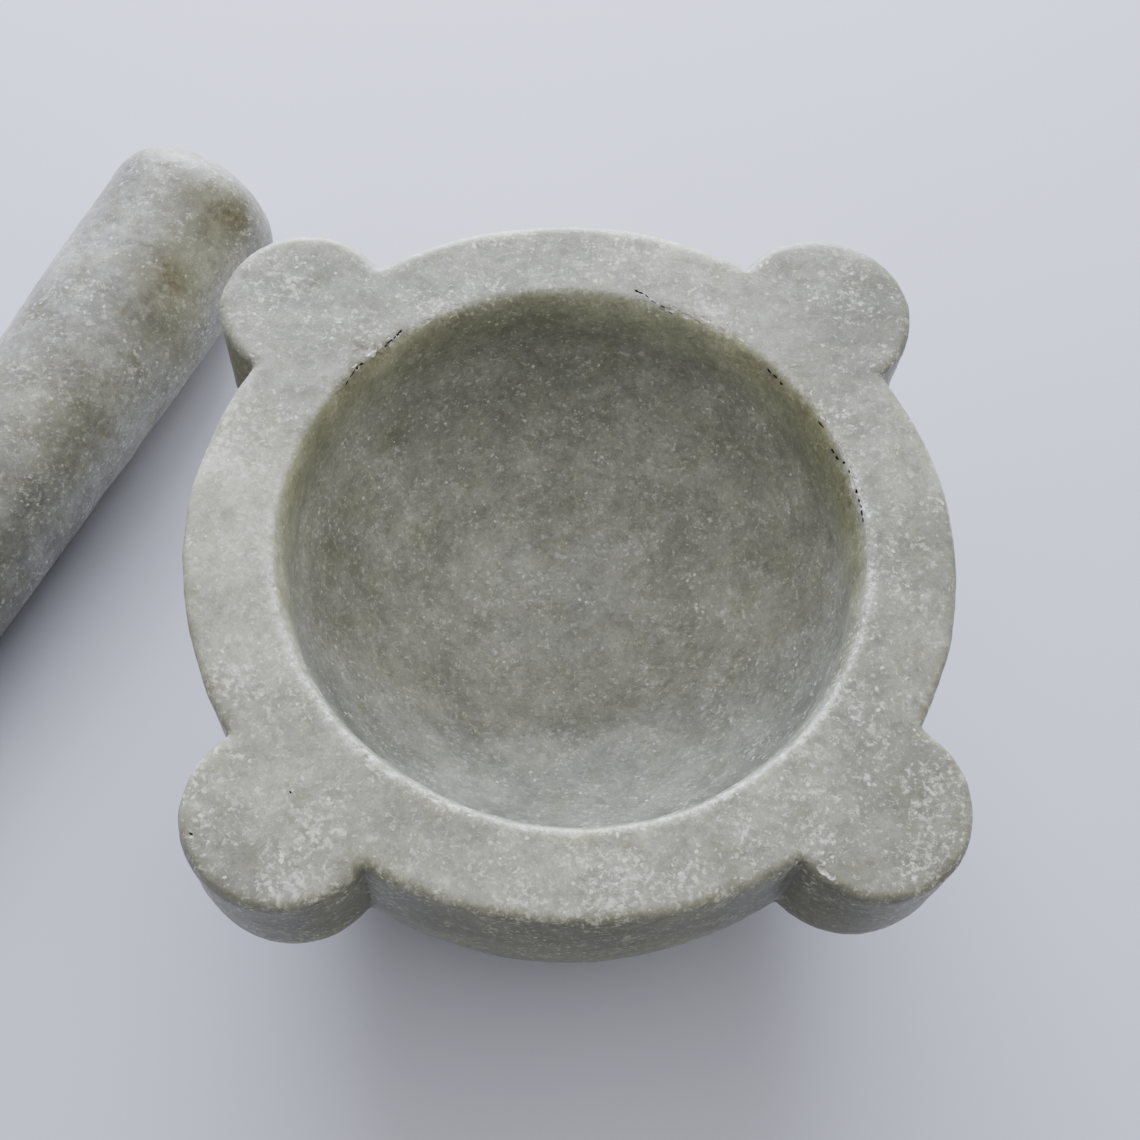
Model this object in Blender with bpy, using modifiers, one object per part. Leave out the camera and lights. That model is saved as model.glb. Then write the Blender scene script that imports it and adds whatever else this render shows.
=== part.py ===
"""Marble mortar with four rim lugs, and its loose pestle lying beside it.

Metres, +Z up. The origin is the centre of the mortar's flat underside, on the table that
both pieces stand on. The lugs point along the diagonals of the X and Y axes.
"""

import math

import bmesh
import bpy
from mathutils import Matrix, Vector

# Mortar: one block of marble, turned outside and in, with the lugs left standing at the rim
MORTAR_HEIGHT = 0.095
BODY_RADIUS = 0.075
BASE_RADIUS = 0.043
RIM_BAND = 0.020            # upright stretch of the outer wall under the rim
RIM_EDGE_ROUND = 0.0028     # rounding of the rim's outer arris, the same on the lugs
FOOT_ROUND = 0.0025
MOUTH_RADIUS = 0.0565
MOUTH_EDGE_ROUND = 0.0012
MOUTH_BAND = 0.004          # upright stretch of the inner wall under the mouth's arris
BOWL_DEPTH = 0.060

# Lugs: upright half-rounds at the rim that die into the body lower down, like corbels
LUG_COUNT = 4
LUG_START_ANGLE = math.radians(45)
LUG_RADIUS = 0.0180
LUG_CENTRE_OUTSET = 0.0010  # from the body's outer wall out to the lug's own axis
LUG_STRAIGHT = 0.024        # upright height of a lug below the rim
LUG_CORBEL = 0.030          # height over which the lug tapers away
LUG_TOE_RADIUS = 0.005      # radius of the lug's lowest section, buried in the wall

# Pestle: a turned bar, thicker at its grinding head, with both ends domed
PESTLE_LENGTH = 0.168
HEAD_RADIUS = 0.0228
HEAD_DOME = 0.0148
HEAD_SQUARENESS = 2.18      # 2 is an ellipse; more gives the head a fuller shoulder
GRIP_RADIUS = 0.0187
GRIP_DOME = 0.0105

# Where the pestle lies: on the table, at the mortar's side
PESTLE_HEADING = math.radians(62.85)
PESTLE_GAP = 0.0297         # between the mortar's widest reach on that side and the head
PESTLE_TIP_AHEAD = 0.0864   # from the mortar's axis forward to the pestle's tip

BODY_SEGMENTS = 72
LUG_SEGMENTS = 32
PESTLE_SEGMENTS = 48
ARRIS_STEPS = 4             # steps along each curve of the profiles
WALL_STEPS = 12
BOWL_STEPS = 13
CORBEL_STEPS = 7
HEAD_STEPS = 8
BARREL_STEPS = 3
GRIP_STEPS = 6
CREASE = math.radians(35)   # edges sharper than this are drawn crisp
MERGE = 0.00001
OVERCUT = 0.006             # how far a cutter runs past the surface that it cuts


def start_scene(name):
    """An empty scene with one collection for the object's parts."""
    for old in list(bpy.data.objects):
        bpy.data.objects.remove(old, do_unlink=True)
    parts = bpy.data.collections.new(name)
    bpy.context.scene.collection.children.link(parts)
    return parts


def stone(name, colour, roughness):
    """A polished or worn stone surface in one plain colour."""
    material = bpy.data.materials.new(name)
    material.use_nodes = True
    surface = material.node_tree.nodes["Principled BSDF"]
    surface.inputs["Base Color"].default_value = (*colour, 1.0)
    surface.inputs["Roughness"].default_value = roughness
    surface.inputs["Metallic"].default_value = 0.0
    return material


def arc(centre, radius, start, end, steps):
    """Points (radius, height) on an arc in a turned profile, both ends included."""
    points = []
    for step in range(steps + 1):
        angle = math.radians(start + (end - start) * step / steps)
        points.append((centre[0] + radius * math.cos(angle), centre[1] + radius * math.sin(angle)))
    return points


def turned(name, profile, segments, collection):
    """A solid of revolution about Z. The profile's points (radius, height) run top to bottom."""
    mesh = bpy.data.meshes.new(name)
    bm = bmesh.new()
    verts = [bm.verts.new((radius, 0.0, height)) for radius, height in profile]
    for upper, lower in zip(verts, verts[1:]):
        bm.edges.new((upper, lower))
    bm.to_mesh(mesh)
    bm.free()
    piece = bpy.data.objects.new(name, mesh)
    collection.objects.link(piece)
    lathe = piece.modifiers.new("lathe", "SCREW")
    lathe.axis = "Z"
    lathe.angle = math.tau
    lathe.steps = segments
    lathe.render_steps = segments
    lathe.use_merge_vertices = True
    lathe.merge_threshold = MERGE
    return piece


def body_radius(height):
    """Outer radius of the mortar's body at a height: upright band, then one arc to the foot."""
    drop = MORTAR_HEIGHT - RIM_BAND
    inset = BODY_RADIUS - BASE_RADIUS
    sweep = (drop ** 2 + inset ** 2) / (2 * inset)
    below_band = max(0.0, drop - height)
    return BODY_RADIUS - sweep + math.sqrt(sweep ** 2 - below_band ** 2)


def body_profile():
    """Outside of the mortar, from the middle of its flat top down to the middle of its base."""
    arris = (BODY_RADIUS - RIM_EDGE_ROUND, MORTAR_HEIGHT - RIM_EDGE_ROUND)
    rim = arc(arris, RIM_EDGE_ROUND, 90, 0, ARRIS_STEPS)
    band_foot = MORTAR_HEIGHT - RIM_BAND
    wall = []
    for step in range(WALL_STEPS + 1):
        height = band_foot + (FOOT_ROUND - band_foot) * step / WALL_STEPS
        wall.append((body_radius(height), height))
    sole_edge = (body_radius(FOOT_ROUND) - FOOT_ROUND, 0.0)
    return [(0.0, MORTAR_HEIGHT)] + rim + wall + [sole_edge, (0.0, 0.0)]


def bowl_profile():
    """The hollow of the mortar, with the mouth's eased arris, from above the rim to its floor."""
    top = MORTAR_HEIGHT + OVERCUT
    ease_top = MORTAR_HEIGHT
    ease_foot = MORTAR_HEIGHT - MOUTH_EDGE_ROUND
    upright_foot = ease_foot - MOUTH_BAND
    flare = MOUTH_RADIUS + MOUTH_EDGE_ROUND
    bowl_height = upright_foot - (MORTAR_HEIGHT - BOWL_DEPTH)
    mouth = [(0.0, top), (flare + OVERCUT, top), (flare, ease_top)]
    ease_middle = MOUTH_EDGE_ROUND * (1 - math.sqrt(0.5))
    mouth += [(MOUTH_RADIUS + ease_middle, MORTAR_HEIGHT - ease_middle), (MOUTH_RADIUS, ease_foot)]
    bowl = []
    for step in range(BOWL_STEPS):
        angle = 0.5 * math.pi * step / BOWL_STEPS
        bowl.append((MOUTH_RADIUS * math.cos(angle), upright_foot - bowl_height * math.sin(angle)))
    return mouth + bowl + [(0.0, upright_foot - bowl_height)]


def lug_sections():
    """Sections of a lug, top to bottom: (height, distance of its centre from Z, radius)."""
    centre = BODY_RADIUS + LUG_CENTRE_OUTSET
    reach = centre + LUG_RADIUS
    sections = []
    arris = (LUG_RADIUS - RIM_EDGE_ROUND, MORTAR_HEIGHT - RIM_EDGE_ROUND)
    for radius, height in arc(arris, RIM_EDGE_ROUND, 90, 0, ARRIS_STEPS):
        sections.append((height, centre, radius))
    corbel_top = MORTAR_HEIGHT - LUG_STRAIGHT
    toe_height = corbel_top - LUG_CORBEL
    toe_reach = body_radius(toe_height)
    for step in range(CORBEL_STEPS + 1):
        share = step / CORBEL_STEPS
        height = corbel_top - LUG_CORBEL * share
        bulge = math.cos(0.5 * math.pi * share)
        section_reach = toe_reach + (reach - toe_reach) * bulge
        radius = LUG_TOE_RADIUS + (LUG_RADIUS - LUG_TOE_RADIUS) * bulge
        sections.append((height, section_reach - radius, radius))
    return sections


def lug(name, angle, collection):
    """One lug as a closed solid: a circle extruded from section to section down the wall."""
    sections = lug_sections()
    height, centre, radius = sections[0]
    bm = bmesh.new()
    top = Matrix.Translation((centre, 0.0, height))
    bmesh.ops.create_circle(bm, cap_ends=True, segments=LUG_SEGMENTS, radius=radius, matrix=top)
    rim_edges = list(bm.edges)
    for next_height, next_centre, next_radius in sections[1:]:
        drawn = bmesh.ops.extrude_edge_only(bm, edges=rim_edges)["geom"]
        ring = [item for item in drawn if isinstance(item, bmesh.types.BMVert)]
        rim_edges = [item for item in drawn if isinstance(item, bmesh.types.BMEdge)]
        for vert in ring:
            offset = (vert.co - Vector((centre, 0.0, height))) * (next_radius / radius)
            vert.co = Vector((next_centre, 0.0, next_height)) + offset
        height, centre, radius = next_height, next_centre, next_radius
    bmesh.ops.holes_fill(bm, edges=rim_edges)
    bmesh.ops.rotate(bm, verts=bm.verts, matrix=Matrix.Rotation(angle, 3, "Z"))
    bmesh.ops.recalc_face_normals(bm, faces=bm.faces)
    mesh = bpy.data.meshes.new(name)
    bm.to_mesh(mesh)
    bm.free()
    piece = bpy.data.objects.new(name, mesh)
    collection.objects.link(piece)
    return piece


def combine(target, tool, operation):
    """One exact Boolean on the target. The tool stays in the scene as a wire guide."""
    cut = target.modifiers.new(tool.name, "BOOLEAN")
    cut.operation = operation
    cut.solver = "EXACT"
    cut.object = tool
    tool.hide_render = True
    tool.display_type = "WIRE"


def settle_mesh(piece):
    """Replace a piece's mesh by its evaluated one, smooth except at its crisp edges."""
    evaluated = piece.evaluated_get(bpy.context.evaluated_depsgraph_get())
    mesh = bpy.data.meshes.new_from_object(evaluated)
    mesh.name = piece.name
    piece.modifiers.clear()
    piece.data = mesh
    mesh.shade_smooth()
    mesh.set_sharp_from_angle(angle=CREASE)


def build_mortar(parts, guides):
    """The mortar's block: turned body, lugs joined on, bowl cut out."""
    mortar = turned("mortar", body_profile(), BODY_SEGMENTS, parts)
    for index in range(LUG_COUNT):
        angle = LUG_START_ANGLE + math.tau * index / LUG_COUNT
        combine(mortar, lug(f"lug_{index + 1}", angle, guides), "UNION")
    combine(mortar, turned("bowl_hollow", bowl_profile(), BODY_SEGMENTS, guides), "DIFFERENCE")
    bpy.context.view_layer.update()
    settle_mesh(mortar)
    mortar.data.materials.append(stone("mortar_marble", (0.62, 0.62, 0.57), 0.45))
    return mortar


def pestle_profile():
    """The pestle from its head's tip down to its grip's end, on an axis that starts at the grip."""
    profile = []
    power = 2 / HEAD_SQUARENESS
    for step in range(HEAD_STEPS + 1):
        angle = 0.5 * math.pi * step / HEAD_STEPS
        radius = HEAD_RADIUS * math.sin(angle) ** power
        height = PESTLE_LENGTH - HEAD_DOME * (1 - math.cos(angle) ** power)
        profile.append((radius if step else 0.0, height))
    barrel = PESTLE_LENGTH - HEAD_DOME - GRIP_DOME
    for step in range(1, BARREL_STEPS):
        share = step / BARREL_STEPS
        radius = HEAD_RADIUS + (GRIP_RADIUS - HEAD_RADIUS) * share
        profile.append((radius, PESTLE_LENGTH - HEAD_DOME - barrel * share))
    for step in range(GRIP_STEPS):
        angle = 0.5 * math.pi * step / GRIP_STEPS
        profile.append((GRIP_RADIUS * math.cos(angle), GRIP_DOME * (1 - math.sin(angle))))
    return profile + [(0.0, 0.0)]


def pestle_placement():
    """Pose of the pestle's own axis so that its tapered barrel lies along the table."""
    barrel = PESTLE_LENGTH - HEAD_DOME - GRIP_DOME
    slope = (HEAD_RADIUS - GRIP_RADIUS) / barrel
    tilt = math.atan(slope)
    ahead = Vector((math.cos(PESTLE_HEADING), math.sin(PESTLE_HEADING), 0.0))
    aside = Vector((-ahead.y, ahead.x, 0.0))
    up = Vector((0.0, 0.0, 1.0))
    along = ahead * math.cos(tilt) + up * math.sin(tilt)
    down = ahead * math.sin(tilt) - up * math.cos(tilt)
    across = along.cross(down)
    nearest_lug = LUG_START_ANGLE + math.tau / LUG_COUNT
    aside_angle = PESTLE_HEADING + 0.5 * math.pi
    lug_reach = (BODY_RADIUS + LUG_CENTRE_OUTSET) * math.cos(nearest_lug - aside_angle) + LUG_RADIUS
    offset = lug_reach + PESTLE_GAP + HEAD_RADIUS
    grip_radius_at_end = GRIP_RADIUS - slope * GRIP_DOME
    grip_end = ahead * (PESTLE_TIP_AHEAD - PESTLE_LENGTH * math.cos(tilt)) + aside * offset
    grip_end += up * (grip_radius_at_end * math.cos(tilt))
    turn = Matrix((down, across, along)).transposed().to_4x4()
    return Matrix.Translation(grip_end) @ turn


def build_pestle(parts):
    """The loose pestle, with its origin at the middle of its own axis."""
    pestle = turned("pestle", pestle_profile(), PESTLE_SEGMENTS, parts)
    bpy.context.view_layer.update()
    settle_mesh(pestle)
    middle = Matrix.Translation((0.0, 0.0, 0.5 * PESTLE_LENGTH))
    pestle.data.transform(middle.inverted())
    pestle.matrix_world = pestle_placement() @ middle
    pestle.data.materials.append(stone("pestle_marble", (0.44, 0.42, 0.36), 0.5))
    return pestle


def main():
    parts = start_scene("mortar_and_pestle")
    guides = bpy.data.collections.new("guides")
    bpy.context.scene.collection.children.link(guides)
    build_mortar(parts, guides)
    build_pestle(parts)


main()
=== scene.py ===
"""Hand-cut marble mortar with four lugs, and its loose marble pestle, on a pale studio floor."""

import math
import random

import bpy
import numpy as np
from mathutils import Matrix, Quaternion, Vector


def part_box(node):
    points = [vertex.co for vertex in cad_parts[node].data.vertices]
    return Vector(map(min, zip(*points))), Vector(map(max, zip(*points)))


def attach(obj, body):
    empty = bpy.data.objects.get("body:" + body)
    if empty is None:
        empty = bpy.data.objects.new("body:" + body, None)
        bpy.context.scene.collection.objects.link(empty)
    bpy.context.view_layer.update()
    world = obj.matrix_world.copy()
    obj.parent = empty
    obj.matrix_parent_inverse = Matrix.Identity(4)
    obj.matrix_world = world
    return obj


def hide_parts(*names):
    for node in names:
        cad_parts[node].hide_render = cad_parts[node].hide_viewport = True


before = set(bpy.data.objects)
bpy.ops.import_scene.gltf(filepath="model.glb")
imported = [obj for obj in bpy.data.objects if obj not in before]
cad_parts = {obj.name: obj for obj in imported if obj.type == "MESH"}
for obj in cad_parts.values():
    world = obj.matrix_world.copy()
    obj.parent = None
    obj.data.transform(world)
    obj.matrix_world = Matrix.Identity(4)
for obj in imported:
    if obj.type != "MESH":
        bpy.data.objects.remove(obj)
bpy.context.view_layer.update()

MM = 0.001
mortar_low, mortar_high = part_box("mortar")
RIM_HEIGHT = mortar_high[2]
BODY_RADIUS = 0.5 * (mortar_high[0] - mortar_low[0])

# The mortar as the mason left it
BASE_RADIUS = 43 * MM
RIM_BAND = 20 * MM
RIM_ROUND = 1.9 * MM
FOOT_ROUND = 2.5 * MM
MOUTH_RADIUS = 56.5 * MM
MOUTH_WORN = 55.6 * MM      # the mouth's arris is worn to a shoulder: its reach well below the rim,
MOUTH_LEAN = 2.4 * MM       # how far it leans out at the rim,
MOUTH_FADE = 3.0 * MM       # how quickly the lean fades with depth,
MOUTH_BAND = 5.2 * MM       # and the depth at which the round of the bowl starts
BOWL_DEPTH = 60 * MM
LUG_CORBEL = 32 * MM
LUG_TOE_RADIUS = 5 * MM
# Each lug was cut by eye: (angle in degrees, distance of its centre, radius, upright height), mm
LUGS = ((44.8, 75.5, 18.8, 24), (134.8, 76.6, 17.6, 24), (225.2, 75.9, 18.0, 24), (315.2, 76.1, 18.0, 23))
BURIED = 1 * MM             # how far the rough block runs under its finished sole
SIDES = 160
EDGE_STEPS = 6
MORTAR_TRIANGLES = 180000
# Stretches of the mouth's arris that crumbled: (middle and spread in degrees, crumbs, size in mm)
CRUMBLED = ((133, 6, 12, 0.9), (64, 4, 7, 0.8), (54, 4, 5, 0.7), (10, 6, 14, 0.8), (25, 4, 5, 0.7),
            (117, 5, 7, 0.7), (200, 35, 22, 0.6), (245, 18, 18, 0.7), (300, 30, 12, 0.5), (345, 12, 6, 0.5))
# Single knocks on other edges: (degrees, reach, size in mm)
KNOCKS = ((302.9, 78.6, 1.0), (303.3, 80.2, 0.8), (147, 76.5, 0.7), (229, 93.2, 0.8), (52, 93.8, 0.7))
# Cracks along it: (width in mm, run of (degrees, reach in mm))
CRACKS = (
    (0.6, ((125.5, 58.7), (126.3, 58.4), (127.0, 58.2))), (0.35, ((127.2, 58.2), (128.0, 58.0))),
    (0.55, ((128.2, 58.0), (128.9, 57.9), (129.6, 57.9))), (0.3, ((129.8, 57.8), (130.4, 57.8))),
    (0.4, ((136.2, 57.7), (136.9, 57.9))), (0.5, ((137.5, 57.9), (138.2, 57.8))),
    (0.25, ((138.6, 57.8), (140.2, 57.6))), (0.2, ((140.9, 57.5), (142.0, 57.3))),
    (0.55, ((76.1, 59.7), (75.2, 59.4), (74.3, 59.3))), (0.3, ((73.9, 59.2), (73.0, 58.7))),
    (0.25, ((72.4, 58.3), (71.2, 58.0))), (0.2, ((70.2, 57.9), (69.2, 57.7))),
    (0.2, ((68.4, 57.5), (67.4, 57.3))),
    (0.2, ((44.0, 57.2), (42.9, 57.1))), (0.25, ((42.2, 57.1), (41.2, 57.1))),
    (0.18, ((40.2, 57.0), (39.4, 57.0))),
    (0.3, ((28.3, 57.4), (26.4, 57.5))), (0.25, ((21.8, 56.9), (20.6, 56.9))),
    (0.3, ((19.9, 56.9), (18.9, 57.0))),
    (0.4, ((17.8, 57.4), (17.3, 57.5))), (0.25, ((15.6, 57.6), (14.9, 57.6))),
    (0.42, ((11.0, 57.6), (10.1, 57.5))), (0.3, ((8.9, 57.5), (8.1, 57.5))),
    (0.35, ((7.6, 57.6), (6.7, 57.6))),
    (0.3, ((6.3, 57.5), (5.1, 57.4))), (0.22, ((4.7, 57.4), (3.7, 57.4))),
    (0.4, ((224.1, 72.4), (224.5, 72.5))), (0.45, ((220.0, 90.2), (220.4, 90.0))),
)
# How hard the arris is worn, and how far grease soaked in under it, by compass angle
WEAR_BEARINGS = (0, 15, 30, 45, 62, 80, 100, 120, 135, 150, 165, 180, 215, 260, 290, 330, 360)
WEAR_STRENGTHS = (0.9, 0.8, 0.7, 0.3, 0.8, 0.4, 0.3, 0.7, 0.4, 0.3, 0.8, 0.7, 0.9, 0.9, 1.0, 0.9, 0.9)
SOAK_BEARINGS = (0, 20, 45, 75, 100, 140, 180, 225, 270, 330, 360)
SOAK_STRENGTHS = (1.0, 1.0, 0.8, 0.6, 0.6, 0.9, 0.8, 0.5, 0.3, 0.4, 1.0)
# How much painted shade darkens the bowl's wall inside the near lip, by compass angle
SHADE_BEARINGS = (0, 190, 215, 260, 300, 330, 350, 360)
SHADE_STRENGTHS = (0.0, 0.2, 1.0, 1.0, 1.0, 1.0, 0.3, 0.0)
# How much painted light brightens the bowl's wall just under the arris
ARRIS_LIGHT_BEARINGS = (0, 10, 25, 60, 95, 110, 150, 180, 210, 345, 360)
ARRIS_LIGHT_STRENGTHS = (0.4, 0.6, 1.0, 1.0, 0.8, 0.6, 0.4, 0.3, 0.0, 0.0, 0.4)
# Dirt soaked into the stone: (degrees, reach, depth below the rim, spread, strength), mm
DIRT = (
    (126.3, 58.4, 0, 1.4, 0.9), (129.0, 58.0, 0, 1.4, 0.9), (131.7, 58.0, 0, 1.6, 1.0),
    (133.0, 59.2, 0, 1.5, 1.0), (134.3, 59.8, 0, 1.5, 1.0), (134.5, 61.1, 0, 1.5, 0.9),
    (135.3, 62.5, 0, 1.4, 0.7), (134.3, 58.0, 0, 1.6, 0.9), (137.5, 57.7, 0, 1.6, 1.0),
    (140.0, 57.6, 0.3, 1.5, 0.9), (142.5, 57.4, 0.5, 1.5, 0.8), (144.7, 57.3, 1, 1.4, 0.5),
    (75.2, 59.4, 0, 1.3, 0.7), (49.0, 56.8, 2, 1.8, 0.6), (43.0, 56.8, 2, 2.0, 0.5),
    (34, 56.6, 3, 2.5, 0.35), (13.6, 56.6, 2.5, 1.6, 0.9), (12.5, 56.2, 5, 1.8, 0.8),
    (9.7, 56.6, 2.7, 1.6, 1.0), (9.8, 56.1, 6, 1.7, 0.8), (21.0, 56.8, 2, 2.4, 0.45),
    (5.0, 56.2, 5, 2.0, 0.4), (0.0, 56.2, 4, 2.2, 0.3), (314, 93.3, 2, 4.5, 0.5),
    (35.5, 79.0, 3, 3.5, 0.5), (194, 74.6, 3, 3.2, 0.5), (199, 74.6, 3, 3.0, 0.4),
    (204, 74.6, 3, 3.2, 0.5), (209, 74.6, 3, 3.0, 0.4), (118, 56.5, 3, 4.0, 0.3), (60, 93, 8, 5.0, 0.3),
)
# Slow clouds at the rim: (degrees, reach, spread, strength), mm. The stone is whiter on the left and at
# the upper right, and darker on the lugs
CLOUDS = (
    (180, 66, 22, 0.85), (160, 68, 14, 0.3), (215, 66, 18, 0.5), (68, 67, 13, 0.35), (112, 67, 14, -0.25),
    (45, 82, 20, -0.65), (315, 84, 22, -0.75), (225, 84, 18, -0.6), (135, 84, 17, -0.4), (0, 67, 14, -0.3),
)
# Where the tool bruised the rim and the lugs, the same way
BRUISES = (
    (320, 84, 5, 1.0), (317, 90, 6, 1.0), (312, 89, 5, 0.9), (306, 74, 5, 0.5), (290, 66, 12, 0.6),
    (265, 67, 14, 0.5), (214, 77, 6, 0.7), (220, 84, 6, 0.7), (229, 77, 6, 0.6), (232, 84, 7, 0.7),
    (159, 67, 8, 0.9), (138, 84, 5, 0.9), (133, 80, 5, 0.6), (143, 84, 4, 0.7), (205, 62, 10, 0.6),
    (62, 62, 7, 0.6), (330, 66, 10, 0.5), (117, 59, 5, 0.6), (32, 59, 4, 0.6), (56, 59, 5, 0.8),
)

# The pestle
PESTLE_LENGTH = 168 * MM
HEAD_RADIUS = 22.8 * MM
HEAD_DOME = 14.8 * MM
HEAD_SQUARENESS = 2.18
GRIP_RADIUS = 18.7 * MM
GRIP_DOME = 10.5 * MM
PESTLE_HEADING = math.radians(62.85)
PESTLE_ASIDE = 142.83 * MM
PESTLE_TIP_AHEAD = 86.4 * MM
PESTLE_AHEAD = Vector((math.cos(PESTLE_HEADING), math.sin(PESTLE_HEADING), 0))
PESTLE_LEFT = Vector((-PESTLE_AHEAD.y, PESTLE_AHEAD.x, 0))
PESTLE_TRIANGLES = 110000
# Rust-brown stains: (how far ahead of the mortar's axis, to the side of the pestle's own, height,
# spread, strength), mm
RUST = (
    (70, -16, 39, 4.5, 0.8), (66, -13, 41, 4, 0.5), (73, -18, 36, 4, 0.4), (61.5, -13.5, 40.5, 2, 0.6),
    (48, -11, 41.5, 3.5, 0.8), (45.5, -13.5, 39.5, 2.6, 1.0), (43, -16, 37, 2.5, 0.5),
    (38, -12, 40, 4, 0.6),
    (33, -13, 39, 4, 0.4), (71, 2.3, 45.4, 1.4, 1.0), (36, -21, 26, 5, 0.4), (10, -8, 40, 6, 0.5),
    (-20, -5, 40, 6, 0.5), (-45, -10, 36, 5, 0.5), (20, 12, 38, 7, 0.4),
)
# Grime round them, painted shade on the dome end and just behind it, and the dome rubbed white, the same
# way
GRIME = (
    (68, -15, 39, 11, 0.8), (46, -13, 38, 11, 0.8), (74, 0, 44, 9, 0.5), (34, -21, 26, 12, 0.6),
    (0, -10, 38, 16, 0.5), (-50, -5, 35, 20, 0.5),
)
HEAD_SHADE = ((74, -4, 42, 12, -0.3), (90, 0, 30, 16, -0.75))
HEAD_WEAR = ((92, 0, 22, 18, 0.45),)
HEAD_BRUISE = ((92, 0, 22, 16, 0.3),)

# Camera, from the point it aims at on the rim
AIM = Vector((-0.8 * MM, -6.8 * MM, RIM_HEIGHT))
VIEW_DISTANCE = 312 * MM
VIEW_DOWN = math.radians(64.38)
VIEW_HEADING = math.radians(82.88)
VIEW_ROLL = math.radians(6.36)
LENS = 51.4                 # focal length in mm, on film 36 mm wide
FILM_WIDTH = 36


# ---------------------------------------------------------------- modelling

def only(piece):
    """Select one object, and nothing else."""
    bpy.ops.object.select_all(action="DESELECT")
    piece.select_set(True)
    bpy.context.view_layer.objects.active = piece


def drawn_out(name, rings):
    """A closed round solid: a disc extruded from ring to ring. Each ring is (centre, radius)."""
    bpy.ops.object.select_all(action="DESELECT")
    centre, radius = Vector(rings[0][0]), rings[0][1]
    bpy.ops.mesh.primitive_circle_add(vertices=SIDES, radius=radius, fill_type="NGON", location=centre)
    piece = bpy.context.object
    piece.name = name
    bpy.ops.object.mode_set(mode="EDIT")
    bpy.ops.mesh.select_all(action="SELECT")
    for next_centre, next_radius in rings[1:]:
        next_centre = Vector(next_centre)
        share = next_radius / radius
        bpy.ops.mesh.extrude_region_move(TRANSFORM_OT_translate={"value": next_centre - centre})
        bpy.ops.transform.resize(value=(share, share, 1), center_override=next_centre)
        centre, radius = next_centre, next_radius
    bpy.ops.mesh.select_all(action="SELECT")
    bpy.ops.mesh.normals_make_consistent(inside=False)
    bpy.ops.object.mode_set(mode="OBJECT")
    bpy.ops.object.transform_apply(location=True, rotation=True, scale=True)
    return piece


def arc(middle, radius, start, end, steps):
    """Points (reach, height) on an arc, from one angle in degrees to another."""
    angles = [math.radians(start + (end - start) * step / steps) for step in range(steps + 1)]
    return [(middle[0] + radius * math.cos(a), middle[1] + radius * math.sin(a)) for a in angles]


def upright(points):
    """Rings about the Z axis from (reach, height) points."""
    return [((0, 0, height), reach) for reach, height in points]


def cut(piece, tool, operation="DIFFERENCE", crossing=False, solver="EXACT"):
    """Join or cut a piece with a tool, and put the tool away. A crossing tool runs through itself."""
    only(piece)
    step = piece.modifiers.new("cut", "BOOLEAN")
    step.operation = operation
    step.solver = solver
    if solver == "EXACT":
        step.use_self = crossing
    step.object = tool
    bpy.ops.object.modifier_apply(modifier=step.name)
    bpy.data.objects.remove(tool, do_unlink=True)


def finish_step(piece, kind, **settings):
    """Add one modifier to a piece and apply it."""
    only(piece)
    step = piece.modifiers.new(kind.lower(), kind)
    for key, value in settings.items():
        setattr(step, key, value)
    bpy.ops.object.modifier_apply(modifier=step.name)


def hammered(piece, size, depth, name, group=""):
    """Lift and sink the surface in soft lumps of one size, as a hand-cut face has."""
    lumps = bpy.data.textures.new(name, "CLOUDS")
    lumps.noise_scale = size
    lumps.noise_depth = 1
    finish_step(piece, "DISPLACE", texture=lumps, texture_coords="LOCAL", strength=depth,
                mid_level=0.5, vertex_group=group)


def thin_to(piece, triangles):
    """Merge the flattest faces until the piece has this many triangles."""
    now = sum(len(face.vertices) - 2 for face in piece.data.polygons)
    if now > triangles:
        finish_step(piece, "DECIMATE", ratio=triangles / now)


def body_reach(height):
    """Outer radius of the body: an upright band, then one arc down to the foot."""
    drop = RIM_HEIGHT - RIM_BAND
    inset = BODY_RADIUS - BASE_RADIUS
    sweep = (drop ** 2 + inset ** 2) / (2 * inset)
    below = max(0.0, drop - height)
    return BODY_RADIUS - sweep + math.sqrt(sweep ** 2 - below ** 2)


def rough_body():
    """The turned block, a little too deep at the sole."""
    points = arc((BODY_RADIUS - RIM_ROUND, RIM_HEIGHT - RIM_ROUND), RIM_ROUND, 90, 0, EDGE_STEPS)
    band_foot = RIM_HEIGHT - RIM_BAND
    steps = 24
    for step in range(steps + 1):
        height = band_foot + (FOOT_ROUND - band_foot) * step / steps
        points.append((body_reach(height), height))
    # the foot's rounding, in shares of its radius, and on under the finished sole
    foot = body_reach(FOOT_ROUND)
    points.append((foot - 0.3 * FOOT_ROUND, 0.35 * FOOT_ROUND))
    points.append((foot - FOOT_ROUND, 0.0))
    points.append((foot - 1.6 * FOOT_ROUND, -BURIED))
    return drawn_out("mortar_stone", upright(points))


def rough_lug(name, angle, centre, radius, straight):
    """One lug: upright at the rim, then drawn in until its toe is buried in the wall."""
    out = Vector((math.cos(angle), math.sin(angle), 0))
    points = [(centre, reach, height) for reach, height in
              arc((radius - RIM_ROUND, RIM_HEIGHT - RIM_ROUND), RIM_ROUND, 90, 0, EDGE_STEPS)]
    corbel_top = RIM_HEIGHT - straight
    toe = body_reach(corbel_top - LUG_CORBEL)
    steps = 14
    for step in range(steps + 1):
        bulge = math.cos(0.5 * math.pi * step / steps)
        outer = toe + (centre + radius - toe) * bulge
        reach = LUG_TOE_RADIUS + (radius - LUG_TOE_RADIUS) * bulge
        points.append((outer - reach, reach, corbel_top - LUG_CORBEL * step / steps))
    rings = [(out * middle + Vector((0, 0, height)), reach) for middle, reach, height in points]
    return drawn_out(name, rings)


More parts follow.
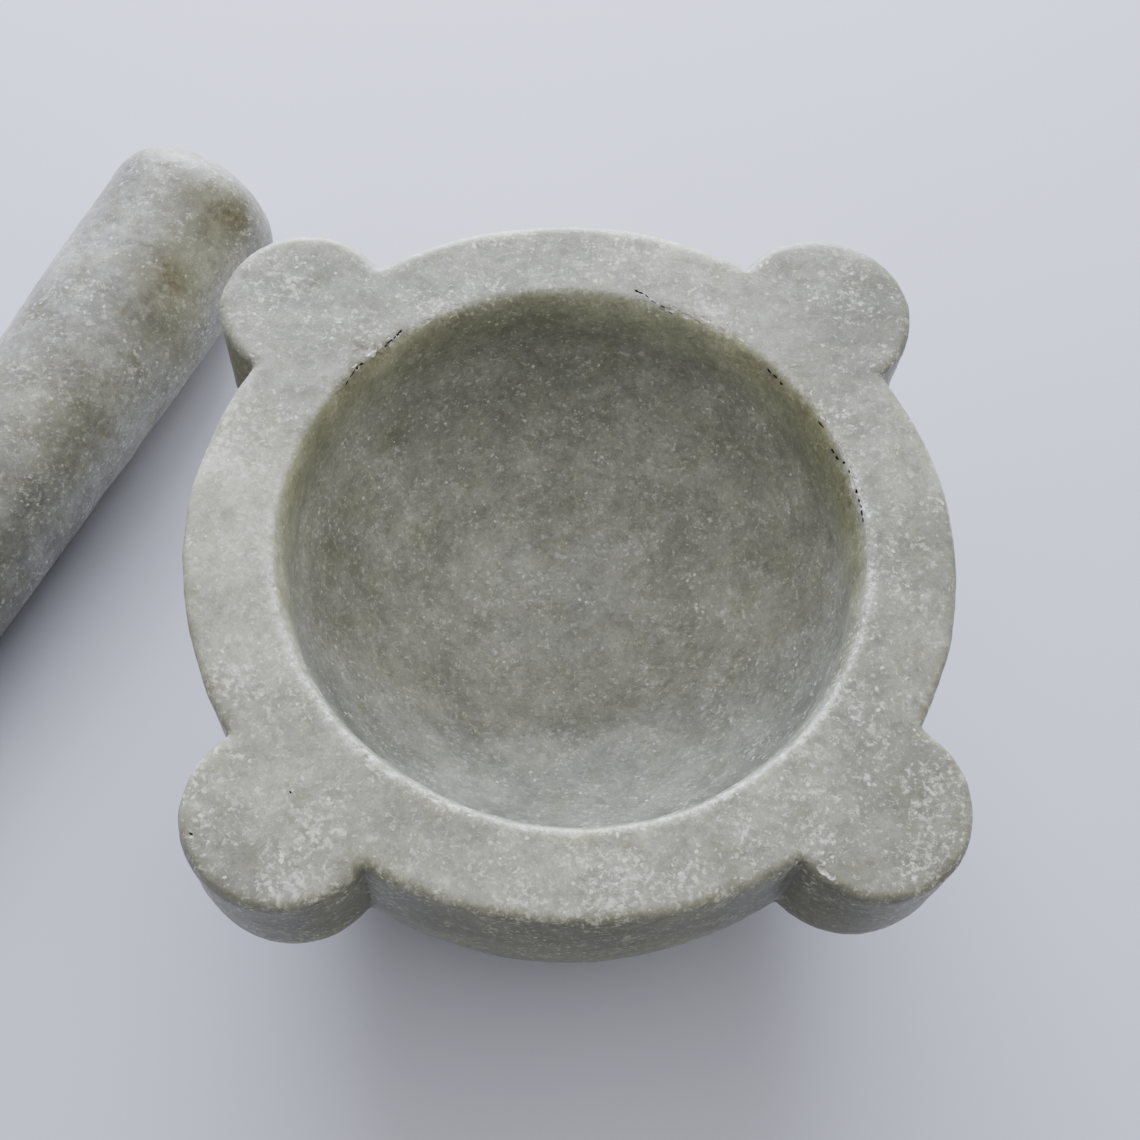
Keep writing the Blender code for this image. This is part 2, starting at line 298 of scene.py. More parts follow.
def shoulder_depth(reach):
    """How far below the rim the mouth's worn shoulder is at a reach from the axis, to 3 fades deep."""
    share = (reach - MOUTH_WORN) / MOUTH_LEAN
    return 0.0 if share >= 1 else -MOUTH_FADE * math.log(max(share, 0.05))


def bowl_tool():
    """The hollow of the bowl, from above the rim down to its floor, with rings closer near the mouth."""
    over = 6 * MM
    deep = BOWL_DEPTH - MOUTH_BAND
    shoulder_only = 4 * MM
    crowding = 1.6
    points = [(MOUTH_WORN + MOUTH_LEAN + over, RIM_HEIGHT + over)]
    steps = 48
    for step in range(steps):
        below = BOWL_DEPTH * (step / steps) ** crowding
        round_part = max(0.0, below - MOUTH_BAND) / deep
        bowl = MOUTH_RADIUS * math.sqrt(1 - round_part ** 2)
        shoulder = MOUTH_WORN + MOUTH_LEAN * math.exp(-below / MOUTH_FADE)
        reach = min(bowl, shoulder) if below > shoulder_only else shoulder
        points.append((reach, RIM_HEIGHT - below))
    points.append((0.1 * points[-1][0], RIM_HEIGHT - BOWL_DEPTH))
    return drawn_out("bowl_tool", upright(points))


def polar(degrees, reach, height=0.0):
    """A place by its compass angle from +X, its distance from the axis and its height."""
    angle = math.radians(degrees)
    return Vector((reach * math.cos(angle), reach * math.sin(angle), height))


def lump(rng, place, size, turn, stones, filling):
    """A small ragged lump that knocks one bit out of an edge. Size is (along, across, deep)."""
    bpy.ops.object.select_all(action="DESELECT")
    bpy.ops.mesh.primitive_ico_sphere_add(subdivisions=2, radius=1)
    tool = bpy.context.object
    bpy.ops.object.mode_set(mode="EDIT")
    bpy.ops.mesh.select_all(action="SELECT")
    bpy.ops.transform.vertex_random(offset=0.22, seed=rng.randrange(10000))
    bpy.ops.object.mode_set(mode="OBJECT")
    tool.matrix_world = Matrix.LocRotScale(place, Quaternion((0, 0, 1), turn), size)
    bpy.ops.object.transform_apply(location=True, rotation=True, scale=True)
    for stone in stones:
        tool.data.materials.append(stone)
    for face in tool.data.polygons:
        face.material_index = filling
    return tool


def joined(pieces):
    """Several objects as one."""
    only(pieces[0])
    for piece in pieces:
        piece.select_set(True)
    bpy.ops.object.join()
    return bpy.context.object


def edge_breaker(stones):
    """One tool for the mouth's arris: fresh crumbs knocked off it, and hairline cracks full of dirt."""
    rng = random.Random(17)
    lumps = []
    for middle, spread, count, size in CRUMBLED:
        for _ in range(count):
            degrees = middle + rng.uniform(-spread, spread)
            radius = size * rng.uniform(0.5, 1.2) * MM
            reach = MOUTH_WORN + MOUTH_LEAN + rng.uniform(-0.8, 0.6) * MM
            height = RIM_HEIGHT - shoulder_depth(reach) + rng.uniform(-0.1, 0.15) * MM
            place = polar(degrees, reach, height)
            shape = (radius * rng.uniform(1.0, 1.9), radius * rng.uniform(0.6, 1.0),
                     radius * rng.uniform(0.35, 0.7))
            lumps.append(lump(rng, place, shape, math.radians(degrees + 90), stones, 1))
    for degrees, reach, size in KNOCKS:
        place = polar(degrees, reach * MM, RIM_HEIGHT)
        shape = (1.4 * size * MM, size * MM, 0.6 * size * MM)
        lumps.append(lump(rng, place, shape, math.radians(degrees), stones, 1))
    crumbs = joined(lumps)
    slits = []
    for width, run in CRACKS:
        for (angle_a, reach_a), (angle_b, reach_b) in zip(run, run[1:]):
            start = polar(angle_a, reach_a * MM, RIM_HEIGHT - shoulder_depth(reach_a * MM))
            end = polar(angle_b, reach_b * MM, RIM_HEIGHT - shoulder_depth(reach_b * MM))
            stretch = end - start
            # a little over half the stretch each way, so that one slit runs into the next
            shape = (0.62 * stretch.length, 0.5 * width * MM, 0.9 * MM)
            slits.append(lump(rng, 0.5 * (start + end), shape, math.atan2(stretch.y, stretch.x), stones, 2))
    cut(crumbs, joined(slits), "UNION", crossing=True)
    return crumbs


def carve_mortar(stones):
    """Block, lugs and bowl, the unevenness of a hand-finished stone, then its chips and cracks."""
    breaker = edge_breaker(stones)
    mortar = rough_body()
    for index, (degrees, centre, radius, straight) in enumerate(LUGS):
        lug = rough_lug(f"lug_{index}", math.radians(degrees), centre * MM, radius * MM, straight * MM)
        cut(mortar, lug, "UNION")
    cut(mortar, bowl_tool())
    finish_step(mortar, "REMESH", mode="VOXEL", voxel_size=0.7 * MM)
    finish_step(mortar, "SMOOTH", factor=0.5, iterations=2)
    hammered(mortar, 30 * MM, 1.1 * MM, "slow_waves")
    hammered(mortar, 7 * MM, 0.35 * MM, "tool_flats")
    hammered(mortar, 1.6 * MM, 0.14 * MM, "sugar_grain")
    flat_sole(mortar)
    thin_to(mortar, MORTAR_TRIANGLES)
    mortar.data.materials.clear()
    for stone in stones:
        mortar.data.materials.append(stone)
    cut(mortar, breaker, solver="MANIFOLD")
    return mortar


def flat_sole(piece):
    """Rub the underside flat at the table's level."""
    only(piece)
    bpy.ops.object.mode_set(mode="EDIT")
    bpy.ops.mesh.select_all(action="SELECT")
    bpy.ops.mesh.bisect(plane_co=(0, 0, 0), plane_no=(0, 0, 1), use_fill=True, clear_inner=True)
    bpy.ops.object.mode_set(mode="OBJECT")


def carve_pestle():
    """The pestle turned upright on its own axis, then laid on the table beside the mortar."""
    points = []
    power = 2 / HEAD_SQUARENESS
    steps = 16
    for step in range(1, steps + 1):
        angle = 0.5 * math.pi * step / steps
        drop = HEAD_DOME * (1 - math.cos(angle) ** power)
        points.append((HEAD_RADIUS * math.sin(angle) ** power, PESTLE_LENGTH - drop))
    barrel = PESTLE_LENGTH - HEAD_DOME - GRIP_DOME
    steps = 12
    for step in range(1, steps):
        share = step / steps
        reach = HEAD_RADIUS + (GRIP_RADIUS - HEAD_RADIUS) * share
        points.append((reach, PESTLE_LENGTH - HEAD_DOME - barrel * share))
    steps = 12
    for step in range(steps):
        angle = 0.5 * math.pi * step / steps
        points.append((GRIP_RADIUS * math.cos(angle), GRIP_DOME * (1 - math.sin(angle))))
    pestle = drawn_out("pestle_stone", upright(points))
    finish_step(pestle, "REMESH", mode="VOXEL", voxel_size=0.6 * MM)
    finish_step(pestle, "SMOOTH", factor=0.5, iterations=2)
    slope = (HEAD_RADIUS - GRIP_RADIUS) / barrel
    tilt = math.atan(slope)
    up = Vector((0, 0, 1))
    along = PESTLE_AHEAD * math.cos(tilt) + up * math.sin(tilt)
    down = PESTLE_AHEAD * math.sin(tilt) - up * math.cos(tilt)
    grip_end = PESTLE_AHEAD * (PESTLE_TIP_AHEAD - PESTLE_LENGTH * math.cos(tilt))
    grip_end += PESTLE_LEFT * PESTLE_ASIDE
    grip_end += up * (GRIP_RADIUS - slope * GRIP_DOME) * math.cos(tilt)
    turn = Matrix((down, along.cross(down), along)).transposed().to_4x4()
    pestle.matrix_world = Matrix.Translation(grip_end) @ turn
    only(pestle)
    bpy.ops.object.transform_apply(location=True, rotation=True, scale=True)
    hammered(pestle, 26 * MM, 0.9 * MM, "pestle_waves")
    hammered(pestle, 5 * MM, 0.35 * MM, "pestle_flats")
    hammered(pestle, 1.5 * MM, 0.16 * MM, "pestle_grain")
    flat_sole(pestle)
    thin_to(pestle, PESTLE_TRIANGLES)
    return pestle


# ---------------------------------------------------------------- marble

def colour(code):
    """An sRGB hex colour as linear RGBA."""
    channels = [int(code[i:i + 2], 16) / 255 for i in (1, 3, 5)]
    return tuple(c / 12.92 if c <= 0.04045 else ((c + 0.055) / 1.055) ** 2.4 for c in channels) + (1.0,)


def node(tree, kind, settings=None, out=0, **inputs):
    """Add a node with its settings, values and links, and give back one of its outputs."""
    made = tree.nodes.new(kind)
    for key, value in (settings or {}).items():
        setattr(made, key, value)
    for key, value in inputs.items():
        socket = made.inputs[int(key[1:])] if key[1:].isdigit() else made.inputs[key.replace("_", " ")]
        if isinstance(value, bpy.types.NodeSocket):
            tree.links.new(value, socket)
        else:
            socket.default_value = value
    return made.outputs[out]


def new_finish(name):
    """A new material, with its node tree and its shader."""
    material = bpy.data.materials.new(name)
    material.use_nodes = True
    return material, material.node_tree, material.node_tree.nodes["Principled BSDF"]


RGBA = {"data_type": "RGBA"}
TINT = {"data_type": "RGBA", "blend_type": "MULTIPLY"}
SMOOTH = {"interpolation_type": "SMOOTHSTEP"}


def clouded_stone(tree, place, ragged, stones, olive_share):
    """The stone's body: slow clouds from pale to dark, olive mottle, and smoky patches between the clusters
    of crystals, scaled by the stored cloud mask, which holds painted shade and painted light as well as the
    stone's own clouds. Stones are the hex colours pale, dark and olive."""
    haze = node(tree, "ShaderNodeTexNoise", Vector=place, Scale=1 / (20 * MM), Detail=4.0, Roughness=0.6)
    haze = node(tree, "ShaderNodeMapRange", SMOOTH, Value=haze, From_Min=0.35, From_Max=0.65)
    tone = node(tree, "ShaderNodeMix", RGBA, 2, i0=haze, i6=colour(stones[1]), i7=colour(stones[0]))
    mottle = node(tree, "ShaderNodeTexNoise", Vector=ragged, Scale=1 / (7 * MM), Detail=5.0, Roughness=0.65)
    mottle = node(tree, "ShaderNodeMapRange", SMOOTH, Value=mottle, From_Min=0.46, From_Max=0.72,
                  To_Min=0.0, To_Max=olive_share)
    tone = node(tree, "ShaderNodeMix", RGBA, 2, i0=mottle, i6=tone, i7=colour(stones[2]))
    smoke = node(tree, "ShaderNodeTexNoise", {"noise_dimensions": "4D"}, Vector=ragged, W=3.0,
                 Scale=1 / (4.5 * MM), Detail=5.0, Roughness=0.68)
    smoke = node(tree, "ShaderNodeMapRange", None, Value=smoke, From_Min=0.3, From_Max=0.7,
                 To_Min=0.76, To_Max=1.2)
    tone = node(tree, "ShaderNodeVectorMath", {"operation": "SCALE"}, i0=tone, Scale=smoke)
    # the stored cloud mask: the stone's own clouds, with painted shade and painted light
    cloud = node(tree, "ShaderNodeAttribute", {"attribute_name": "cloud"}, "Fac")
    cloud = node(tree, "ShaderNodeMath", {"operation": "MULTIPLY_ADD"}, i0=cloud, i1=0.4, i2=1.0)
    return node(tree, "ShaderNodeVectorMath", {"operation": "SCALE"}, i0=tone, Scale=cloud)


def milky_crystals(tree, place, ragged, crystal, grain, level, strength):
    """How white each place is with crystals that scatter the light: flecks, painted glints at single
    crystals, and discs.
    """
    # flecks gather in drifts, and where the tool bruised the stone
    drift = node(tree, "ShaderNodeTexNoise", Vector=place, Scale=1 / (9 * MM), Detail=2.0, Roughness=0.5)
    drift = node(tree, "ShaderNodeMapRange", SMOOTH, Value=drift, From_Min=0.35, From_Max=0.68,
                 To_Min=-0.08, To_Max=0.05)
    bruise = node(tree, "ShaderNodeAttribute", {"attribute_name": "bruise"}, "Fac")
    drift = node(tree, "ShaderNodeMath", {"operation": "MULTIPLY_ADD"}, i0=bruise, i1=0.1, i2=drift)
    fleck = node(tree, "ShaderNodeTexNoise", Vector=ragged, Scale=1 / (1.3 * MM), Detail=4.0,
                 Roughness=0.68)
    fleck = node(tree, "ShaderNodeMath", {"operation": "ADD"}, i0=fleck, i1=drift)
    fleck = node(tree, "ShaderNodeMapRange", SMOOTH, Value=fleck, From_Min=level, From_Max=level + 0.15,
                 To_Min=0.0, To_Max=strength)
    bright = node(tree, "ShaderNodeMath", {"operation": "MULTIPLY"}, i0=crystal, i1=grain)
    bright = node(tree, "ShaderNodeMapRange", SMOOTH, Value=bright, From_Min=0.46, From_Max=0.62,
                  To_Max=0.7 * strength)
    fleck = node(tree, "ShaderNodeMath", {"operation": "MAXIMUM"}, i0=fleck, i1=bright)
    # painted glints: single small crystals as crisp white points in the colour
    point = node(tree, "ShaderNodeTexVoronoi", Vector=ragged, Scale=1 / (1.6 * MM)).node
    few = node(tree, "ShaderNodeSeparateColor", i0=point.outputs["Color"])
    few = node(tree, "ShaderNodeMath", {"operation": "MULTIPLY_ADD"}, i0=drift, i1=2.5, i2=few)
    few = node(tree, "ShaderNodeMapRange", None, Value=few, From_Min=0.76, From_Max=0.9,
               To_Max=1.5 * strength)
    painted_glint = node(tree, "ShaderNodeMapRange", SMOOTH, Value=point.outputs["Distance"],
               From_Min=0.14, From_Max=0.3, To_Min=1.0, To_Max=0.0)
    painted_glint = node(tree, "ShaderNodeMath", {"operation": "MULTIPLY", "use_clamp": True}, i0=painted_glint, i1=few)
    fleck = node(tree, "ShaderNodeMath", {"operation": "MAXIMUM"}, i0=fleck, i1=painted_glint)
    # here and there one large crystal shows whole
    whole = node(tree, "ShaderNodeTexVoronoi", Vector=ragged, Scale=1 / (3.4 * MM)).node
    chosen = node(tree, "ShaderNodeSeparateColor", i0=whole.outputs["Color"])
    chosen = node(tree, "ShaderNodeMapRange", SMOOTH, Value=chosen, From_Min=0.82, From_Max=0.96,
                  To_Max=0.42)
    disc = node(tree, "ShaderNodeMapRange", SMOOTH, Value=whole.outputs["Distance"],
                From_Min=0.1, From_Max=0.32, To_Min=1.0, To_Max=0.0)
    disc = node(tree, "ShaderNodeMath", {"operation": "MULTIPLY"}, i0=disc, i1=chosen)
    return node(tree, "ShaderNodeMath", {"operation": "MAXIMUM"}, i0=fleck, i1=disc)


def marble(name, pale, dark, olive, olive_share, fleck_level, fleck_strength):
    """Coarse white marble, cut by hand and handled: a sugary mass of calcite crystals that light
    sinks into and comes out of yellower, milky where crystals are crushed, clouded with olive,
    and brown where dirt has soaked in."""
    material, tree, shader = new_finish(name)
    place = node(tree, "ShaderNodeTexCoord", out="Object")
    # crystals' outlines are ragged: push the place about by a third of a crystal
    push = node(tree, "ShaderNodeTexNoise", None, "Color", Vector=place, Scale=1 / (1.0 * MM), Detail=3.0)
    push = node(tree, "ShaderNodeVectorMath", {"operation": "SUBTRACT"}, i0=push, i1=(0.5, 0.5, 0.5))
    push = node(tree, "ShaderNodeVectorMath", {"operation": "SCALE"}, i0=push, Scale=1.4 * MM)
    ragged = node(tree, "ShaderNodeVectorMath", {"operation": "ADD"}, i0=place, i1=push)

    tone = clouded_stone(tree, place, ragged, (pale, dark, olive), olive_share)

    # every crystal is a shade of its own, and finer ones fill the gaps
    crystal = node(tree, "ShaderNodeTexVoronoi", None, "Color", Vector=ragged, Scale=1 / (0.9 * MM))
    crystal = node(tree, "ShaderNodeSeparateColor", i0=crystal)
    grain = node(tree, "ShaderNodeTexNoise", Vector=place, Scale=1 / (0.5 * MM), Detail=2.0, Roughness=0.6)
    shade = node(tree, "ShaderNodeMath", {"operation": "MULTIPLY_ADD"}, i0=crystal, i1=0.45, i2=grain)
    shade = node(tree, "ShaderNodeMapRange", None, Value=shade, From_Min=0.4, From_Max=1.1,
                 To_Min=0.8, To_Max=1.2)
    tone = node(tree, "ShaderNodeVectorMath", {"operation": "SCALE"}, i0=tone, Scale=shade)

    milk = milky_crystals(tree, place, ragged, crystal, grain, fleck_level, fleck_strength)

    # crushed crystals along worn edges are white
    wear = node(tree, "ShaderNodeAttribute", {"attribute_name": "wear"}, "Fac")
    grit = node(tree, "ShaderNodeTexNoise", Vector=ragged, Scale=1 / (0.9 * MM), Detail=3.0, Roughness=0.75)
    grit = node(tree, "ShaderNodeMapRange", SMOOTH, Value=grit, From_Min=0.44, From_Max=0.6)
    patch = node(tree, "ShaderNodeTexNoise", Vector=place, Scale=1 / (5 * MM), Detail=2.0)
    patch = node(tree, "ShaderNodeMapRange", SMOOTH, Value=patch, From_Min=0.36, From_Max=0.56, To_Min=0.25)
    grit = node(tree, "ShaderNodeMath", {"operation": "MULTIPLY"}, i0=grit, i1=patch)
    worn = node(tree, "ShaderNodeMath", {"operation": "MULTIPLY"}, i0=wear, i1=grit)
    milk = node(tree, "ShaderNodeMath", {"operation": "MAXIMUM"}, i0=milk, i1=worn)
    tone = node(tree, "ShaderNodeMix", RGBA, 2, i0=milk, i6=tone, i7=colour("#E6E7E2"))

    # grease that soaked in turns the stone olive, and dirt leaves brown blotches
    soak = node(tree, "ShaderNodeAttribute", {"attribute_name": "soak"}, "Fac")
    tone = node(tree, "ShaderNodeMix", TINT, 2, i0=soak, i6=tone, i7=colour("#E5E4C0"))
    stain = node(tree, "ShaderNodeAttribute", {"attribute_name": "stain"}, "Fac")
    blot = node(tree, "ShaderNodeTexNoise", Vector=ragged, Scale=1 / (2.0 * MM), Detail=5.0, Roughness=0.75)
    blot = node(tree, "ShaderNodeMapRange", SMOOTH, Value=blot, From_Min=0.36, From_Max=0.66,
                To_Min=0.12, To_Max=0.85)
    stain = node(tree, "ShaderNodeMath", {"operation": "MULTIPLY"}, i0=stain, i1=blot)
    tone = node(tree, "ShaderNodeMix", RGBA, 2, i0=stain, i6=tone, i7=colour("#57492C"))
    tree.links.new(tone, shader.inputs["Base Color"])

    # worn crumbs and dirt are duller than rubbed stone
    dull = node(tree, "ShaderNodeMath", {"operation": "MAXIMUM"}, i0=worn, i1=stain)
    gloss = node(tree, "ShaderNodeMapRange", None, Value=dull, To_Min=0.46, To_Max=0.75)
    tree.links.new(gloss, shader.inputs["Roughness"])
    relief = node(tree, "ShaderNodeMath", {"operation": "MULTIPLY_ADD"}, i0=crystal, i1=0.4, i2=grain)
    relief = node(tree, "ShaderNodeBump", None, "Normal", Height=relief, Strength=0.4, Distance=0.12 * MM)
    tree.links.new(relief, shader.inputs["Normal"])
    shader.inputs["IOR"].default_value = 1.55
    shader.inputs["Subsurface Weight"].default_value = 0.75
    shader.inputs["Subsurface Radius"].default_value = (1.0, 0.95, 0.7)
    shader.inputs["Subsurface Scale"].default_value = 6.5 * MM
    return material


def broken_stone():
    """Marble freshly broken: loose white crystals, rough and dry."""
    material, tree, shader = new_finish("fresh_marble_break")
    place = node(tree, "ShaderNodeTexCoord", out="Object")
    crumb = node(tree, "ShaderNodeTexVoronoi", None, "Color", Vector=place, Scale=1 / (0.5 * MM))
    crumb = node(tree, "ShaderNodeSeparateColor", i0=crumb)
    tone = node(tree, "ShaderNodeMix", RGBA, 2, i0=crumb, i6=colour("#A9A89C"), i7=colour("#F0F0EA"))
    tree.links.new(tone, shader.inputs["Base Color"])
    relief = node(tree, "ShaderNodeBump", None, "Normal", Height=crumb, Strength=0.6, Distance=0.15 * MM)
    tree.links.new(relief, shader.inputs["Normal"])
    shader.inputs["Roughness"].default_value = 0.7
    shader.inputs["IOR"].default_value = 1.55
    shader.inputs["Subsurface Weight"].default_value = 0.3
    shader.inputs["Subsurface Radius"].default_value = (1.0, 0.93, 0.6)
    shader.inputs["Subsurface Scale"].default_value = 3 * MM
    return material


def crack_dirt():
    """Old food and dust packed into a crack: almost black, brown where it thins."""
    material, tree, shader = new_finish("packed_crack_dirt")
    place = node(tree, "ShaderNodeTexCoord", out="Object")
    clot = node(tree, "ShaderNodeTexNoise", Vector=place, Scale=1 / (1.2 * MM), Detail=3.0)
    clot = node(tree, "ShaderNodeMapRange", SMOOTH, Value=clot, From_Min=0.45, From_Max=0.65)
    tone = node(tree, "ShaderNodeMix", RGBA, 2, i0=clot, i6=colour("#2A2218"), i7=colour("#6E5A3A"))
    tree.links.new(tone, shader.inputs["Base Color"])
    shader.inputs["Roughness"].default_value = 0.85
    return material


def corners(piece):
    """The places of a piece's vertices, as one array."""
    points = np.empty(3 * len(piece.data.vertices), dtype=np.float32)
    piece.data.vertices.foreach_get("co", points)
    return points.reshape(-1, 3)


def around(piece):
    """Each vertex's reach from the axis, its bearing in degrees, and its depth below the rim."""
    points = corners(piece)
    reach = np.hypot(points[:, 0], points[:, 1])
    bearing = np.degrees(np.arctan2(points[:, 1], points[:, 0])) % 360
    return reach, bearing, RIM_HEIGHT - points[:, 2]


def ramp(values, start, end):
    """Nought at the start, one at the end, and held beyond them."""
    return np.clip((values - start) / (end - start), 0, 1)


def spotted(piece, spots):
    """Soft spots added up, each (place, reach, strength)."""
    points = corners(piece)
    mask = np.zeros(len(points), dtype=np.float32)
    for place, reach, strength in spots:
        gap = np.linalg.norm(points - np.array(place, dtype=np.float32), axis=1)
        mask += strength * np.exp(-(gap / reach) ** 2)
    return mask


def keep_mask(piece, name, mask):
    """Store a mask on a piece for its marble to read."""
    values = np.clip(mask, -1, 1).astype(np.float32)
    piece.data.attributes.new(name, "FLOAT", "POINT").data.foreach_set("value", values)


def wall_inside(below):
    """A reach a little inside the body's outer wall, for an array of depths below the rim."""
    skin = 4 * MM
    heights = np.linspace(0, RIM_HEIGHT, 20)
    return np.interp(RIM_HEIGHT - below, heights, [body_reach(height) - skin for height in heights])


def mouth_wear(reach, bearing, below):
    """How crushed the mouth's arris is, place by place."""
    arris = np.hypot(reach - MOUTH_WORN - MOUTH_LEAN, below)
    strength = np.interp(bearing, WEAR_BEARINGS, WEAR_STRENGTHS)
    return np.clip(1.6 - arris / (0.9 * MM), 0, 1) * strength


def outside(reach, below):
    """One on the outer wall and on the rounding above it, nought on the rim and in the bowl."""
    return ramp(below, 0.5 * MM, 2.0 * MM) * (reach > wall_inside(below))


def far_edge_painted_shade(reach, bearing, below):
    """The rounding along the far outer edge, which faces the window light: painted shade darkens it."""
    edge = ramp(below, 0.2 * MM, 1.0 * MM) * (1 - ramp(below, 3 * MM, 9 * MM))
    return edge * (reach > wall_inside(below)) * ramp(np.sin(np.radians(bearing)), -0.2, 0.4)


def grease_soak(reach, bearing, below):
    """Olive grease under the mouth's arris, handled grime outside, and a little on the rim."""
    band = 0.75 * ramp(below, -0.5 * MM, 2.0 * MM) * (1 - ramp(below, 5 * MM, 15 * MM))
    band *= (reach < MOUTH_WORN + MOUTH_LEAN) * np.interp(bearing, SOAK_BEARINGS, SOAK_STRENGTHS)
    rim = 0.25 * ramp(reach, 56 * MM, 58 * MM)
    return np.maximum.reduce([band, rim, outside(reach, below)])


def bowl_painted_light_and_shade(reach, bearing, below):
    """Painted shade and painted light on the bowl's wall: painted shade on the near side inside the lip,
    and painted light in the first few millimetres under the arris."""
    inside = reach < MOUTH_WORN + MOUTH_LEAN
    # painted shade on the near wall inside the lip
    dark = ramp(below, 1 * MM, 5 * MM) * (1 - ramp(below, 26 * MM, 44 * MM))
    dark *= inside * np.interp(bearing, SHADE_BEARINGS, SHADE_STRENGTHS)
    # painted light on the wall just under the arris
    clear = ramp(below, 0, 1 * MM) * (1 - ramp(below, 4 * MM, 14 * MM))
    return clear * inside * np.interp(bearing, ARRIS_LIGHT_BEARINGS, ARRIS_LIGHT_STRENGTHS) - dark


def on_rim(spots):
    """Spots (degrees, reach, spread, strength) at the rim, as places."""
    return [(polar(degrees, reach * MM, RIM_HEIGHT), spread * MM, strength)
            for degrees, reach, spread, strength in spots]


def on_pestle(spots):
    """Spots (ahead, aside, height, spread, strength) on the pestle where it lies, as places."""
    up = Vector((0, 0, 1))
    return [((PESTLE_AHEAD * ahead + PESTLE_LEFT * aside + up * height) * MM + PESTLE_LEFT * PESTLE_ASIDE,
             spread * MM, strength) for ahead, aside, height, spread, strength in spots]


def dress_mortar(mortar):
    """Store where the mortar is stained, worn, greasy, clouded and bruised, and where shade and light are
    painted into its colour.
    """
    dirt = [(polar(degrees, reach * MM, RIM_HEIGHT - depth * MM), spread * MM, strength)
            for degrees, reach, depth, spread, strength in DIRT]
    keep_mask(mortar, "stain", spotted(mortar, dirt))
    reach, bearing, below = around(mortar)
    keep_mask(mortar, "wear", mouth_wear(reach, bearing, below))
    keep_mask(mortar, "soak", grease_soak(reach, bearing, below))
    # the cloud mask: the stone's own clouds at the rim, painted shade on the outer wall and on its far
    # outer edge, and painted shade and painted light in the bowl
    cloud = spotted(mortar, on_rim(CLOUDS)) - 0.75 * outside(reach, below)
    cloud = cloud - 0.4 * far_edge_painted_shade(reach, bearing, below) + bowl_painted_light_and_shade(reach, bearing, below)
    keep_mask(mortar, "cloud", cloud)
    bruise = spotted(mortar, on_rim(BRUISES))
    keep_mask(mortar, "bruise", bruise - 0.35 * (reach < MOUTH_RADIUS) * ramp(below, 1 * MM, 4 * MM))


def dress_pestle(pestle):
    """Store where the pestle is stained, greasy, worn, clouded and bruised. Shade is painted on its
    underside and on its dome end.
    """
    keep_mask(pestle, "stain", spotted(pestle, on_pestle(RUST)))
    keep_mask(pestle, "soak", spotted(pestle, on_pestle(GRIME)))
    keep_mask(pestle, "wear", spotted(pestle, on_pestle(HEAD_WEAR)))
    # painted shade on the lower side: none above 30 mm, full from 12 mm down; with the painted shade on the
    # dome end
    underside = ramp(corners(pestle)[:, 2], 30 * MM, 12 * MM)
    keep_mask(pestle, "cloud", spotted(pestle, on_pestle(HEAD_SHADE)) - 0.6 * underside)
    keep_mask(pestle, "bruise", spotted(pestle, on_pestle(HEAD_BRUISE)))


# ---------------------------------------------------------------- pieces

mortar_marble = marble("hand_cut_white_marble", "#AFB0A5", "#98998F", "#93947C", 0.55, 0.55, 0.75)
mortar = carve_mortar((mortar_marble, broken_stone(), crack_dirt()))
dress_mortar(mortar)
only(mortar)
bpy.ops.object.shade_smooth_by_angle(angle=math.radians(50))

pestle = carve_pestle()
dress_pestle(pestle)
pestle.data.materials.clear()
pestle_marble = marble("handled_grey_marble", "#A9A9A1", "#888880", "#8C8770", 0.6, 0.56, 0.62)
pestle.data.materials.append(pestle_marble)
only(pestle)
bpy.ops.object.shade_smooth()

for piece, cad_node in ((mortar, "mortar"), (pestle, "pestle")):
    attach(piece, cad_node)
    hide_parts(cad_node)


# ---------------------------------------------------------------- stage

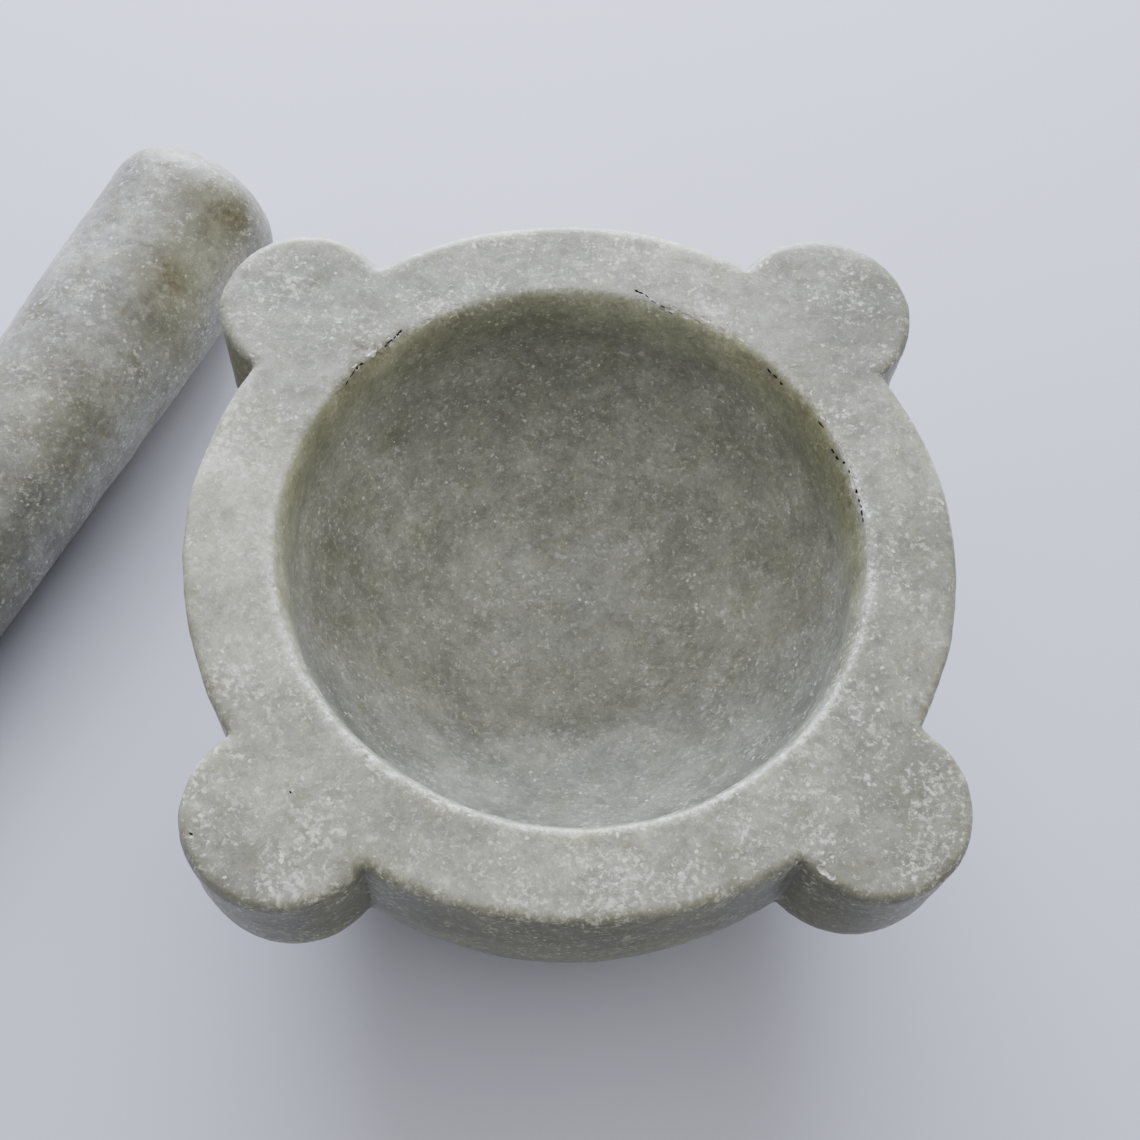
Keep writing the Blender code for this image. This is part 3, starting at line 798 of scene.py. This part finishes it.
def studio_floor():
    """A pale matt board under everything."""
    bpy.ops.object.select_all(action="DESELECT")
    bpy.ops.mesh.primitive_plane_add(size=4, location=(0, 0, -0.1 * MM))
    floor = bpy.context.object
    floor.name = "studio_floor"
    material, tree, shader = new_finish("painted_board")
    place = node(tree, "ShaderNodeTexCoord", out="Object")
    cloud = node(tree, "ShaderNodeTexNoise", Vector=place, Scale=1 / (90 * MM), Detail=3.0)
    tone = node(tree, "ShaderNodeMix", RGBA, 2, i0=cloud, i6=colour("#D9DAEB"), i7=colour("#DEDFF0"))
    tree.links.new(tone, shader.inputs["Base Color"])
    shader.inputs["Roughness"].default_value = 0.7
    floor.data.materials.append(material)


def soft_box(name, place, target, size, watts, tint):
    """A soft square lamp that faces its target."""
    lamp = bpy.data.lights.new(name, "AREA")
    lamp.size = size
    lamp.energy = watts
    lamp.color = colour(tint)[:3]
    holder = bpy.data.objects.new(name, lamp)
    bpy.context.scene.collection.objects.link(holder)
    holder.location = place
    holder.rotation_euler = (Vector(target) - Vector(place)).to_track_quat("-Z", "Y").to_euler()


def camera():
    """Looking down over the near rim into the bowl."""
    eye = bpy.data.objects.new("camera", bpy.data.cameras.new("camera"))
    bpy.context.scene.collection.objects.link(eye)
    level = math.cos(VIEW_DOWN)
    look = Vector((math.cos(VIEW_HEADING) * level, math.sin(VIEW_HEADING) * level, -math.sin(VIEW_DOWN)))
    eye.location = AIM - look * VIEW_DISTANCE
    turn = look.to_track_quat("-Z", "Y") @ Quaternion((0, 0, 1), VIEW_ROLL)
    eye.rotation_euler = turn.to_euler()
    eye.data.lens = LENS
    eye.data.sensor_width = FILM_WIDTH
    eye.data.clip_start = 0.01
    bpy.context.scene.camera = eye


def dim_room():
    """What little light comes from all round."""
    world = bpy.data.worlds.new("studio")
    world.use_nodes = True
    room = world.node_tree.nodes["Background"]
    room.inputs["Color"].default_value = colour("#E4E8F4")
    room.inputs["Strength"].default_value = 0.02
    bpy.context.scene.world = world


studio_floor()
dim_room()
soft_box("window_behind", (-0.06, 1.05, 0.40), (0, 0, 0.05), 0.8, 43, "#E9EEFF")
soft_box("ceiling", (0.0, 0.0, 1.3), (0, 0.0, 0.05), 1.2, 8.2, "#FAFBFF")
soft_box("right_wall", (0.85, 0.0, 0.75), (0, 0.0, 0.05), 0.8, 3.3, "#FFFCF6")
soft_box("left_wall", (-0.78, 0.05, 0.8), (0, 0.0, 0.05), 0.8, 2.6, "#FFFCF6")
camera()
